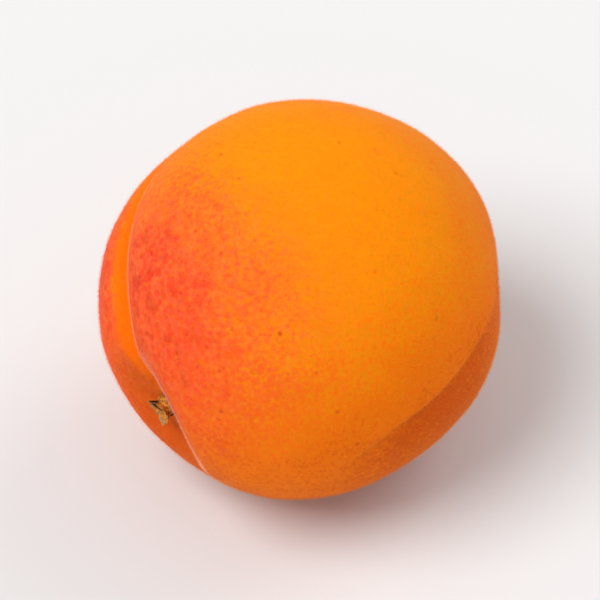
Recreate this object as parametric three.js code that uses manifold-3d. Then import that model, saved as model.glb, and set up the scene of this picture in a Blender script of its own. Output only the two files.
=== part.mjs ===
// A ripe apricot, lying on its side the way a picked one comes to rest.
//
// Two pieces: the fruit, grown as one body, and the dry remnant of its stalk in the
// stem cavity. Units are millimetres and +Z is up. The origin is on the surface that the
// fruit lies on, below the middle of its outline.
//
// The fruit is worked out in a frame of its own: +Z out through the stem cavity, +X to the
// suture, the seam that runs from the cavity to the tip. A point of its skin is given by
// two angles. The polar angle is measured from the stem axis, 0 at the stem and 180 degrees
// at the tip. The turn is measured about that axis from the suture line.

import * as THREE from 'three';
import { mergeVertices } from 'three/addons/utils/BufferGeometryUtils.js';
import Module from 'manifold-3d';

// ---- Driving dimensions, mm and degrees ----

// Half-lengths of the fruit, from its middle.
const TO_STEM = 24.3;
const TO_TIP = 24.4;
const TO_SUTURE = 24.6;
const TO_BACK = 23.8;
const TO_LEFT_CHEEK = 22.2;
const TO_RIGHT_CHEEK = 22.3;
const MEAN_RADIUS = 24;

// The suture: a broad valley with a narrow cleft along its middle. Its line bends about
// the stem axis as it leaves the cavity, and the left cheek stands higher beside it. Its
// strength rises up to the polar angle full, holds to weakens, falls to the share atTip by
// ends, and is gone at the tip.
const VALLEY = { depth: 0.6, width: 5 };
const CLEFT = { depth: 1.45, width: 1 };
const BEND = { angle: 31, starts: 5, ends: 85 };
const SUTURE = { full: 10, weakens: 54, ends: 162, atTip: 0.4 };
const CHEEK_STEP = { height: 0.55, rise: 2.5, width: 9 };

// The funnel that the stalk grew from, and the short trough that leads out of its back.
const CAVITY = { depth: 3.6, alongSuture: 6.8, acrossSuture: 4.3 };
const TROUGH = { depth: 1.05, width: 2.2, from: 8, to: 18 };

// The tip: a low point with the scar of the flower in it.
const TIP = { height: 1.2, width: 9 };
const SCAR = { depth: 0.45, radius: 0.9 };

// A soft crease down the back of the right cheek, and the swelling beside it. The crease
// comes in between the polar angles starts and full, and goes out between fades and ends.
const CREASE = { turn: -146, depth: 0.8, edge: 0.7, width: 8 };
const CREASE_RUN = { starts: 60, full: 85, fades: 135, ends: 165 };
const SWELLING = { polar: 126, azimuth: -156, height: 1.25, sharpness: 12 };

// How the fruit lies: the stem axis points a little below level.
const STEM_FROM_VERTICAL = 100.4;
const STEM_HEADING = 219.7;
const ROLL = 205.5;
const FLAT_DEPTH = 0.6;

// The stalk remnant: the low, ragged, dished end that the dry stalk left in the cavity.
// Its rim goes in and out in threes and fives, and up and down in twos and fives. A tag of
// it reaches out on one side.
const REMNANT = { height: 1.3, foot: 1.35, waist: 1.25, waistHeight: 0.585, rim: 1.7 };
const DISH = { depth: 0.5, edgeDepth: 0.4, edgeRadius: 0.935 };
const RAGGED = { threes: 0.09, fives: 0.05, phase: 0.6, starts: 0.39 };
const WAVY = { twos: 0.18, fives: 0.06, phase: 1 };
const TAG = { turn: 160, reach: 0.6, width: 24 };
const REMNANT_GAP = 0.3;

// Mesh fineness. The fruit's rings crowd together by the stem and the tip, and its columns
// along the suture and the crease: each has how much denser they are, and over what angle.
const FRUIT_MESH = { rings: 58, columns: 76 };
const REMNANT_MESH = { rings: 14, columns: 24 };
const CROWDING = {
  stem: { extra: 1.6, width: 24 },
  tip: { extra: 1.2, width: 14 },
  suture: { extra: 5, width: 9 },
  crease: { extra: 2, width: 8 },
};
const SPACING_STEPS = 1440;
const WELD = 1e-4;

const FRUIT_COLOUR = 0xf98a26;
const STALK_COLOUR = 0x6b4a22;

// ---- Small helpers ----

const radians = THREE.MathUtils.degToRad;

function smoothstep(start, end, value) {
  const t = THREE.MathUtils.clamp((value - start) / (end - start), 0, 1);
  return t * t * (3 - 2 * t);
}

// An angle brought to between minus and plus half a turn.
function wrapped(angle) {
  return THREE.MathUtils.euclideanModulo(angle + Math.PI, 2 * Math.PI) - Math.PI;
}

function bell(distance, width) {
  return Math.exp(-((distance / width) ** 2));
}

// A bell with a rounder floor and straighter walls.
function trench(distance, width) {
  return 1 / Math.cosh(distance / width);
}

// ---- The skin, as a distance from the middle of the fruit ----

// How far the suture line has bent round the stem axis at a polar angle.
function sutureBend(polar) {
  return radians(BEND.angle) * smoothstep(radians(BEND.starts), radians(BEND.ends), polar);
}

function bodyRadius(x, y, z) {
  const alongX = x > 0 ? TO_SUTURE : TO_BACK;
  const alongY = y > 0 ? TO_LEFT_CHEEK : TO_RIGHT_CHEEK;
  const alongZ = z > 0 ? TO_STEM : TO_TIP;
  return 1 / Math.hypot(x / alongX, y / alongY, z / alongZ);
}

function sutureStrength(polar) {
  const { full, weakens, ends, atTip } = SUTURE;
  const start = smoothstep(0, radians(full), polar);
  const weakening = 1 - (1 - atTip) * smoothstep(radians(weakens), radians(ends), polar);
  const end = 1 - smoothstep(radians(ends), Math.PI, polar);
  return start * weakening * end;
}

function sutureDepth(across, polar) {
  const valley = VALLEY.depth * bell(across, VALLEY.width);
  const cleft = CLEFT.depth * trench(across, CLEFT.width);
  return sutureStrength(polar) * (valley + cleft);
}

function cheekStep(across, polar) {
  const section = Math.tanh(across / CHEEK_STEP.rise) * bell(across, CHEEK_STEP.width);
  return CHEEK_STEP.height * sutureStrength(polar) * section;
}

function cavityDepth(x, y, z) {
  if (z < 0) {
    return 0;
  }
  const alongSuture = (MEAN_RADIUS * x) / CAVITY.alongSuture;
  const acrossSuture = (MEAN_RADIUS * y) / CAVITY.acrossSuture;
  return CAVITY.depth * trench(alongSuture ** 2 + acrossSuture ** 2, 1);
}

function troughDepth(polar, turn, fromAxis) {
  if (polar > Math.PI / 2) {
    return 0;
  }
  const across = MEAN_RADIUS * Math.sin(polar) * wrapped(turn - Math.PI);
  const along = 1 - smoothstep(TROUGH.from, TROUGH.to, fromAxis);
  return TROUGH.depth * along * trench(across, TROUGH.width);
}

function tipHeight(fromAxis, z) {
  if (z > 0) {
    return 0;
  }
  return TIP.height * bell(fromAxis, TIP.width) - SCAR.depth * bell(fromAxis, SCAR.radius);
}

function creaseDepth(polar, turn) {
  const { starts, full, fades, ends } = CREASE_RUN;
  const across = -MEAN_RADIUS * Math.sin(polar) * wrapped(turn - radians(CREASE.turn));
  const step = smoothstep(-CREASE.edge, CREASE.edge, across) * bell(across, CREASE.width);
  const start = smoothstep(radians(starts), radians(full), polar);
  const end = 1 - smoothstep(radians(fades), radians(ends), polar);
  return CREASE.depth * start * end * step;
}

function swellingHeight(direction) {
  const middle = directionOf(radians(SWELLING.polar), radians(SWELLING.azimuth));
  return SWELLING.height * Math.exp(SWELLING.sharpness * (direction.dot(middle) - 1));
}

function directionOf(polar, azimuth) {
  const fromAxis = Math.sin(polar);
  return new THREE.Vector3(fromAxis * Math.cos(azimuth), fromAxis * Math.sin(azimuth), Math.cos(polar));
}

function skinPoint(polar, turn) {
  const direction = directionOf(polar, turn + sutureBend(polar));
  const { x, y, z } = direction;
  const fromAxis = MEAN_RADIUS * Math.sin(polar);
  const across = fromAxis * wrapped(turn);
  const suture = sutureDepth(across, polar);
  const cavity = cavityDepth(x, y, z);
  const trough = troughDepth(polar, turn, fromAxis);
  const hollow = Math.cbrt(suture ** 3 + cavity ** 3 + trough ** 3);
  const radius = bodyRadius(x, y, z)
    + cheekStep(across, polar)
    + tipHeight(fromAxis, z)
    + swellingHeight(direction)
    - creaseDepth(polar, turn)
    - hollow;
  return direction.multiplyScalar(radius);
}

// ---- Meshes ----

// Values from start to end, closer together where density is high.
function spaced(count, start, end, density) {
  const width = (end - start) / SPACING_STEPS;
  const sums = [0];
  for (let i = 0; i < SPACING_STEPS; i += 1) {
    sums.push(sums[i] + density(start + (i + 0.5) * width));
  }
  const values = [];
  let step = 0;
  for (let i = 0; i <= count; i += 1) {
    const target = (sums[SPACING_STEPS] * i) / count;
    while (step < SPACING_STEPS - 1 && sums[step + 1] < target) {
      step += 1;
    }
    const share = (target - sums[step]) / (sums[step + 1] - sums[step]);
    values.push(start + (step + share) * width);
  }
  return values;
}

function crowded(distance, { extra, width }) {
  return extra * bell(distance, radians(width));
}

// A closed skin of rings between two poles. pointAt(ring, column) gives its points, and
// the columns run anticlockwise seen from the first pole.
function closedSkin({ rings, columns }, pointAt) {
  const points = [pointAt(0, 0)];
  for (let ring = 1; ring < rings; ring += 1) {
    for (let column = 0; column < columns; column += 1) {
      points.push(pointAt(ring, column));
    }
  }
  points.push(pointAt(rings, 0));
  const last = points.length - 1;
  const at = (ring, column) => 1 + (ring - 1) * columns + (column % columns);
  const triangles = [];
  for (let column = 0; column < columns; column += 1) {
    triangles.push(0, at(1, column), at(1, column + 1));
    triangles.push(last, at(rings - 1, column + 1), at(rings - 1, column));
    for (let ring = 1; ring < rings - 1; ring += 1) {
      triangles.push(at(ring, column), at(ring + 1, column), at(ring + 1, column + 1));
      triangles.push(at(ring, column), at(ring + 1, column + 1), at(ring, column + 1));
    }
  }
  const geometry = new THREE.BufferGeometry().setFromPoints(points);
  geometry.setIndex(triangles);
  return geometry;
}

function fruitSkin() {
  const crease = radians(CREASE.turn);
  const polars = spaced(FRUIT_MESH.rings, 0, Math.PI, (polar) => (
    1 + crowded(polar, CROWDING.stem) + crowded(polar - Math.PI, CROWDING.tip)
  ));
  const turns = spaced(FRUIT_MESH.columns, -Math.PI, Math.PI, (turn) => (
    1 + crowded(turn, CROWDING.suture) + crowded(turn - crease, CROWDING.crease)
  ));
  return closedSkin(FRUIT_MESH, (ring, column) => skinPoint(polars[ring], turns[column]));
}

function remnantSkin() {
  const { height, foot, waist, waistHeight, rim } = REMNANT;
  const floor = skinPoint(0, 0).z + REMNANT_GAP;
  const section = new THREE.SplineCurve([
    new THREE.Vector2(0, height - DISH.depth),
    new THREE.Vector2(DISH.edgeRadius, height - DISH.edgeDepth),
    new THREE.Vector2(rim, height),
    new THREE.Vector2(waist, waistHeight),
    new THREE.Vector2(foot, 0),
    new THREE.Vector2(0, 0),
  ]);
  return closedSkin(REMNANT_MESH, (ring, column) => {
    const turn = (2 * Math.PI * column) / REMNANT_MESH.columns;
    const { x: radius, y } = section.getPoint(ring / REMNANT_MESH.rings);
    const rise = Math.max(0, y);
    const upper = smoothstep(RAGGED.starts, height, rise) * smoothstep(0, rim, radius);
    const ragged = RAGGED.threes * Math.sin(3 * turn + RAGGED.phase)
      + RAGGED.fives * Math.sin(5 * turn);
    const wavy = WAVY.twos * Math.sin(2 * turn + WAVY.phase) + WAVY.fives * Math.sin(5 * turn);
    const tag = TAG.reach * bell(wrapped(turn - radians(TAG.turn)), radians(TAG.width));
    const spread = radius + upper * (ragged + tag);
    const lift = rise + upper * wavy;
    return new THREE.Vector3(spread * Math.cos(turn), spread * Math.sin(turn), floor + lift);
  });
}

// Turns a geometry from the fruit's own frame to the way the fruit lies.
function lay(geometry) {
  return geometry
    .rotateZ(radians(ROLL))
    .rotateY(radians(STEM_FROM_VERTICAL))
    .rotateZ(radians(STEM_HEADING));
}

// ---- The flat spot that the fruit rests on ----

const wasm = await Module();
wasm.setup();

function solidOf(geometry) {
  const bare = geometry.clone();
  bare.deleteAttribute('normal');
  bare.deleteAttribute('uv');
  const merged = mergeVertices(bare, WELD);
  return new wasm.Manifold(new wasm.Mesh({
    numProp: 3,
    vertProperties: new Float32Array(merged.attributes.position.array),
    triVerts: new Uint32Array(merged.index.array),
  }));
}

function geometryOf(solid) {
  const { vertProperties, triVerts } = solid.getMesh();
  const geometry = new THREE.BufferGeometry();
  geometry.setAttribute('position', new THREE.BufferAttribute(vertProperties, 3));
  geometry.setIndex(new THREE.BufferAttribute(triVerts, 1));
  geometry.computeVertexNormals();
  return geometry;
}

// The geometry without what lies below the given height.
function cutBelow(geometry, height) {
  const size = 4 * MEAN_RADIUS;
  const block = new THREE.BoxGeometry(size, size, size).translate(0, 0, height - size / 2);
  return geometryOf(solidOf(geometry).subtract(solidOf(block)));
}

function material(colour, roughness) {
  return new THREE.MeshStandardMaterial({ color: colour, roughness, metalness: 0 });
}

function named(name, geometry, finish) {
  const mesh = new THREE.Mesh(geometry, finish);
  mesh.name = name;
  return mesh;
}

// ---- The apricot ----

const laidSkin = lay(fruitSkin());
laidSkin.computeBoundingBox();
const restingHeight = laidSkin.boundingBox.min.z + FLAT_DEPTH;
const fruitGeometry = cutBelow(laidSkin, restingHeight);
fruitGeometry.computeBoundingBox();
const middle = fruitGeometry.boundingBox.getCenter(new THREE.Vector3());

const remnantGeometry = lay(remnantSkin());
remnantGeometry.computeVertexNormals();

const apricot = new THREE.Group();
apricot.position.set(-middle.x, -middle.y, -restingHeight);
apricot.add(named('fruit', fruitGeometry, material(FRUIT_COLOUR, 0.55)));
apricot.add(named('stalk_remnant', remnantGeometry, material(STALK_COLOUR, 0.9)));

export default apricot;
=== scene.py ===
"""The looks of a ripe apricot, dressed over its CAD solids.

The fruit's skin is made again from the solid's own dimensions, on a finer mesh, with its
blush, mottling, speckles and down. The dry stalk remnant is made again with its fibres.
The fruit's own dimensions are in millimetres and degrees, as in its CAD source. What is
in a mesh is in metres, and angles in the sums are in radians.
"""

from __future__ import annotations

import logging
import math
import operator
from collections.abc import Callable
from dataclasses import dataclass
from enum import Enum
from functools import reduce

import bpy
import numpy as np
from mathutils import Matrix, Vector

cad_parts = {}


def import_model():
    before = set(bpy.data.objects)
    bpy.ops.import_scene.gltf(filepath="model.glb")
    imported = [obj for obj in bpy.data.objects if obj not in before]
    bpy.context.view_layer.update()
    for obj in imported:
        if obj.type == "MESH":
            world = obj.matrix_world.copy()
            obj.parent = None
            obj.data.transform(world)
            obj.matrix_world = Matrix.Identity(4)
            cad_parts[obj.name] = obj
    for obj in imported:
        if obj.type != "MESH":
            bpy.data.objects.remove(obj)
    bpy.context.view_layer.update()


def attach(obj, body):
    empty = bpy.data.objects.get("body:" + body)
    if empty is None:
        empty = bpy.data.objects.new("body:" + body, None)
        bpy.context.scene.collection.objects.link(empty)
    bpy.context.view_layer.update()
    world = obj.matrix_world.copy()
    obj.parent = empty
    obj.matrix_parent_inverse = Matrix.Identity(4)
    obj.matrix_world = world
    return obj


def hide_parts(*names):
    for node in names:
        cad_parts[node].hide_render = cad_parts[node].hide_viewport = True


LOG = logging.getLogger("apricot")
MM = 0.001
BODY = "root"
TRIANGLE_LIMIT = 200_000

HALF_TURN = np.pi
FULL_TURN = 2.0 * np.pi
# The widths beyond which a trench is level, and the fine steps that a spacing is summed in.
TRENCH_REACH = 60.0
FINE_STEPS = 20
NOISE_MIDDLE = 0.5
# A Mix node's sockets for colours, by index, because their names are shared.
MIX_SHARE, MIX_FIRST, MIX_SECOND, MIX_RESULT = 0, 6, 7, 2

Colour = tuple[float, float, float]


# ---- Number helpers ----


def smoothstep(start: float, end: float, value: np.ndarray) -> np.ndarray:
    """Rises smoothly from 0 at start to 1 at end.

    Args:
        start: the value at which the rise begins.
        end: the value at which it ends, which may be the lower one.
        value: the values to map.

    Returns:
        The mapped values, between 0 and 1.
    """
    t = np.clip((value - start) / (end - start), 0.0, 1.0)
    return t * t * (3.0 - 2.0 * t)


def wrapped(angle: np.ndarray) -> np.ndarray:
    """Brings an angle to between minus and plus half a turn."""
    return (angle + HALF_TURN) % FULL_TURN - HALF_TURN


def bell(distance: np.ndarray, width: float | np.ndarray) -> np.ndarray:
    """A bell curve, 1 in the middle."""
    return np.exp(-((distance / width) ** 2))


def trench(distance: np.ndarray, width: float) -> np.ndarray:
    """A bell with a rounder floor and straighter walls."""
    return 1.0 / np.cosh(np.clip(distance / width, -TRENCH_REACH, TRENCH_REACH))


def direction_of(polar: np.ndarray, azimuth: np.ndarray) -> np.ndarray:
    """The unit directions at polar angles and azimuths, as an array of x, y, z rows."""
    across = np.sin(polar)
    return np.stack([across * np.cos(azimuth), across * np.sin(azimuth), np.cos(polar)], -1)


def spaced(
    count: int, start: float, end: float, density: Callable[[np.ndarray], np.ndarray]
) -> np.ndarray:
    """Values from start to end, closer together where density is high.

    Args:
        count: the number of steps.
        start: the first value.
        end: the last value.
        density: a function of the value.

    Returns:
        count + 1 values.
    """
    fine = np.linspace(start, end, FINE_STEPS * count + 1)
    middles = 0.5 * (fine[1:] + fine[:-1])
    sums = np.concatenate([[0.0], np.cumsum(density(middles))])
    return np.interp(np.linspace(0.0, sums[-1], count + 1), sums, fine)


@dataclass(frozen=True)
class Rise:
    """A smooth rise from 0 at start to 1 at end, or a fall where end is the lower."""

    start: float
    end: float

    def at(self, value: np.ndarray) -> np.ndarray:
        """How far the rise has come at each value, 0 to 1."""
        return smoothstep(self.start, self.end, value)


@dataclass(frozen=True)
class Hill:
    """A bell curve about a middle."""

    middle: float
    width: float

    def at(self, value: np.ndarray) -> np.ndarray:
        """How near each value is to the middle, 0 to 1."""
        return bell(value - self.middle, self.width)


@dataclass(frozen=True)
class Wave:
    """An up and down round an axis: how many times, how high, and how far turned."""

    count: int
    height: float
    start: float = 0.0

    def at(self, turn: np.ndarray) -> np.ndarray:
        """The wave's height at each turn."""
        return self.height * np.sin(self.count * turn + self.start)


# ---- The fruit's form, as its CAD source has it ----


@dataclass(frozen=True)
class Lie:
    """How the fruit lies: its own frame turned and lifted into the row's frame."""

    stem_from_vertical: float = 100.4
    stem_heading: float = 219.7
    roll: float = 205.5
    offset: tuple[float, float, float] = (-0.0234, -0.0637, 22.913)

    def matrix(self) -> np.ndarray:
        """The turn from the fruit's own frame to the row's frame."""
        leaning = self._about_z(self.stem_heading) @ self._about_y(self.stem_from_vertical)
        return leaning @ self._about_z(self.roll)

    def place(self, points: np.ndarray) -> np.ndarray:
        """Moves points in millimetres to their place in the row's frame, in metres."""
        return (points @ self.matrix().T + np.array(self.offset)) * MM

    @staticmethod
    def _about_z(angle: float) -> np.ndarray:
        """A turn about Z, by degrees."""
        c, s = math.cos(math.radians(angle)), math.sin(math.radians(angle))
        return np.array([[c, -s, 0.0], [s, c, 0.0], [0.0, 0.0, 1.0]])

    @staticmethod
    def _about_y(angle: float) -> np.ndarray:
        """A turn about Y, by degrees."""
        c, s = math.cos(math.radians(angle)), math.sin(math.radians(angle))
        return np.array([[c, 0.0, s], [0.0, 1.0, 0.0], [-s, 0.0, c]])


@dataclass(frozen=True)
class Patch:
    """A soft round patch about a direction in the fruit's own frame."""

    polar: float
    azimuth: float
    tightness: float
    strength: float

    def amount(self, direction: np.ndarray) -> np.ndarray:
        """How strong the patch is in each direction."""
        middle = direction_of(np.radians(self.polar), np.radians(self.azimuth))
        return self.strength * np.exp(self.tightness * (direction @ middle - 1.0))


@dataclass(frozen=True)
class FruitForm:
    """The skin as a distance from the fruit's middle, in millimetres and degrees."""

    to_stem: float = 24.3
    to_tip: float = 24.4
    to_suture: float = 24.6
    to_back: float = 23.8
    to_left_cheek: float = 22.2
    to_right_cheek: float = 22.3
    mean_radius: float = 24.0
    valley_depth: float = 0.6
    valley_width: float = 5.0
    cleft_depth: float = 1.45
    cleft_width: float = 1.0
    bend: float = 31.0
    bend_starts: float = 5.0
    bend_ends: float = 85.0
    suture_full: float = 10.0
    suture_weakens: float = 54.0
    suture_ends: float = 162.0
    suture_at_tip: float = 0.4
    step_height: float = 0.55
    step_rise: float = 2.5
    step_width: float = 9.0
    cavity_depth: float = 3.6
    cavity_along: float = 6.8
    cavity_across: float = 4.3
    trough_turn: float = 180.0
    trough_depth: float = 1.05
    trough_width: float = 2.2
    trough_from: float = 8.0
    trough_to: float = 18.0
    tip_height: float = 1.2
    tip_width: float = 9.0
    scar_depth: float = 0.45
    scar_radius: float = 0.9
    crease_turn: float = -146.0
    crease_depth: float = 0.8
    crease_edge: float = 0.7
    crease_width: float = 8.0
    crease_starts: float = 60.0
    crease_full: float = 85.0
    crease_fades: float = 135.0
    crease_ends: float = 165.0
    swelling_polar: float = 126.0
    swelling_azimuth: float = -156.0
    swelling_height: float = 1.25
    swelling_sharpness: float = 12.0

    def azimuth(self, polar: np.ndarray, turn: np.ndarray) -> np.ndarray:
        """The azimuth of a turn from the bent suture line."""
        start, end = math.radians(self.bend_starts), math.radians(self.bend_ends)
        return turn + math.radians(self.bend) * smoothstep(start, end, polar)

    def from_axis(self, polar: np.ndarray) -> np.ndarray:
        """About how far the skin is from the stem axis."""
        return self.mean_radius * np.sin(polar)

    def across(self, polar: np.ndarray, turn: np.ndarray, middle: float = 0.0) -> np.ndarray:
        """The distance along the skin from the line at a turn, signed."""
        return self.from_axis(polar) * wrapped(turn - math.radians(middle))

    def beyond_crease(self, polar: np.ndarray, turn: np.ndarray) -> np.ndarray:
        """How far a point lies past the crease."""
        return -self.across(polar, turn, self.crease_turn)

    def cavity_place(
        self, direction: np.ndarray, spread: float = 1.0
    ) -> tuple[np.ndarray, np.ndarray]:
        """Where directions lie along and across the stem cavity.

        Args:
            direction: unit directions in the fruit's own frame.
            spread: how many times wider than the cavity the measure is.

        Returns:
            The two places, in shares of the cavity's half-widths times the spread.
        """
        reach = self.mean_radius * direction
        along = reach[..., 0] / (self.cavity_along * spread)
        return along, reach[..., 1] / (self.cavity_across * spread)

    def in_cavity(self, direction: np.ndarray, spread: float = 1.0) -> np.ndarray:
        """How deep in the stem cavity a direction is, 0 to 1."""
        along, aside = self.cavity_place(direction, spread)
        return np.where(direction[..., 2] < 0, 0.0, trench(along**2 + aside**2, 1.0))

    def suture_strength(self, polar: np.ndarray) -> np.ndarray:
        """How strong the suture is along its line.

        Args:
            polar: angles from the stem axis.

        Returns:
            The strength, 0 to 1.
        """
        full, weakens, ends = (
            math.radians(a) for a in (self.suture_full, self.suture_weakens, self.suture_ends)
        )
        weakening = 1.0 - (1.0 - self.suture_at_tip) * smoothstep(weakens, ends, polar)
        return smoothstep(0.0, full, polar) * weakening * (1.0 - smoothstep(ends, HALF_TURN, polar))

    def crease_run(self, polar: np.ndarray) -> np.ndarray:
        """How strong the crease is along its line.

        Args:
            polar: angles from the stem axis.

        Returns:
            The strength, 0 to 1.
        """
        degrees = np.degrees(polar)
        rise = smoothstep(self.crease_starts, self.crease_full, degrees)
        return rise * (1.0 - smoothstep(self.crease_fades, self.crease_ends, degrees))

    def points(self, polar: np.ndarray, turn: np.ndarray) -> np.ndarray:
        """Points of the skin in the fruit's own frame.

        Args:
            polar: angles from the stem axis.
            turn: angles about the stem axis from the suture line.

        Returns:
            An array of x, y, z rows, in millimetres.
        """
        direction = direction_of(polar, self.azimuth(polar, turn))
        x, y, z = direction[..., 0], direction[..., 1], direction[..., 2]
        fore = np.where(x > 0, self.to_suture, self.to_back)
        side = np.where(y > 0, self.to_left_cheek, self.to_right_cheek)
        end = np.where(z > 0, self.to_stem, self.to_tip)
        body = 1.0 / np.sqrt((x / fore) ** 2 + (y / side) ** 2 + (z / end) ** 2)
        raised = self._raised(direction, polar, turn)
        radius = body + raised - self._hollow(direction, polar, turn)
        return direction * radius[..., None]

    def _raised(self, direction: np.ndarray, polar: np.ndarray, turn: np.ndarray) -> np.ndarray:
        """What stands proud of the body: the step, the tip and the swelling, less the crease.

        Args:
            direction: the points' unit directions.
            polar: their angles from the stem axis.
            turn: their angles from the suture line.

        Returns:
            The heights, in millimetres.
        """
        across = self.across(polar, turn)
        step = np.tanh(across / self.step_rise) * bell(across, self.step_width)
        from_axis = self.from_axis(polar)
        point = self.tip_height * bell(from_axis, self.tip_width)
        scar = self.scar_depth * bell(from_axis, self.scar_radius)
        tip = np.where(direction[..., 2] > 0, 0.0, point - scar)
        swelling = Patch(
            self.swelling_polar,
            self.swelling_azimuth,
            self.swelling_sharpness,
            self.swelling_height,
        )
        beyond = self.beyond_crease(polar, turn)
        edge = smoothstep(-self.crease_edge, self.crease_edge, beyond)
        crease = self.crease_run(polar) * edge * bell(beyond, self.crease_width)
        step = self.step_height * self.suture_strength(polar) * step
        return step + tip + swelling.amount(direction) - self.crease_depth * crease

    def _hollow(self, direction: np.ndarray, polar: np.ndarray, turn: np.ndarray) -> np.ndarray:
        """How deep the suture, the stem cavity and its trough are together.

        Args:
            direction: the points' unit directions.
            polar: their angles from the stem axis.
            turn: their angles from the suture line.

        Returns:
            The depths, in millimetres.
        """
        across = self.across(polar, turn)
        section = self.valley_depth * bell(across, self.valley_width)
        section = section + self.cleft_depth * trench(across, self.cleft_width)
        suture = self.suture_strength(polar) * section
        cavity = self.cavity_depth * self.in_cavity(direction)
        fading = 1.0 - smoothstep(self.trough_from, self.trough_to, self.from_axis(polar))
        trough = self.trough_depth * fading
        trough = trough * trench(self.across(polar, turn, self.trough_turn), self.trough_width)
        trough = np.where(polar > HALF_TURN / 2, 0.0, trough)
        return np.cbrt(suture**3 + cavity**3 + trough**3)


# ---- Shader graphs ----


class Sock:
    """A shader socket that reads as a number in an expression."""

    def __init__(self, graph: Graph, socket: bpy.types.NodeSocket) -> None:
        """Wraps a socket of a graph."""
        self.graph = graph
        self.socket = socket

    def _math(self, operation: str, first: Value, second: Value) -> Sock:
        """Adds a Math node."""
        sockets = {0: first, 1: second}
        return self.graph.node("ShaderNodeMath", {"operation": operation}, sockets)

    def __add__(self, other: Value) -> Sock:
        """self + other."""
        return self._math("ADD", self, other)

    def __radd__(self, other: Value) -> Sock:
        """other + self."""
        return self._math("ADD", other, self)

    def __sub__(self, other: Value) -> Sock:
        """self - other."""
        return self._math("SUBTRACT", self, other)

    def __rsub__(self, other: Value) -> Sock:
        """other - self."""
        return self._math("SUBTRACT", other, self)

    def __mul__(self, other: Value) -> Sock:
        """self * other."""
        return self._math("MULTIPLY", self, other)

    def __rmul__(self, other: Value) -> Sock:
        """other * self."""
        return self._math("MULTIPLY", other, self)

    def __pow__(self, other: Value) -> Sock:
        """self to the power other."""
        return self._math("POWER", self, other)

    def __rpow__(self, other: Value) -> Sock:
        """other to the power self."""
        return self._math("POWER", other, self)


Value = Sock | float


@dataclass(frozen=True)
class Noise:
    """Soft noise: its size in millimetres, its finer layers, their share, and its twist."""

    size: float
    layers: float
    rough: float
    twist: float = 0.0


class Cells(Enum):
    """What scattered cells give: how far their middle is, or a random colour for each."""

    DISTANCE = "Distance"
    COLOUR = "Color"


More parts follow.
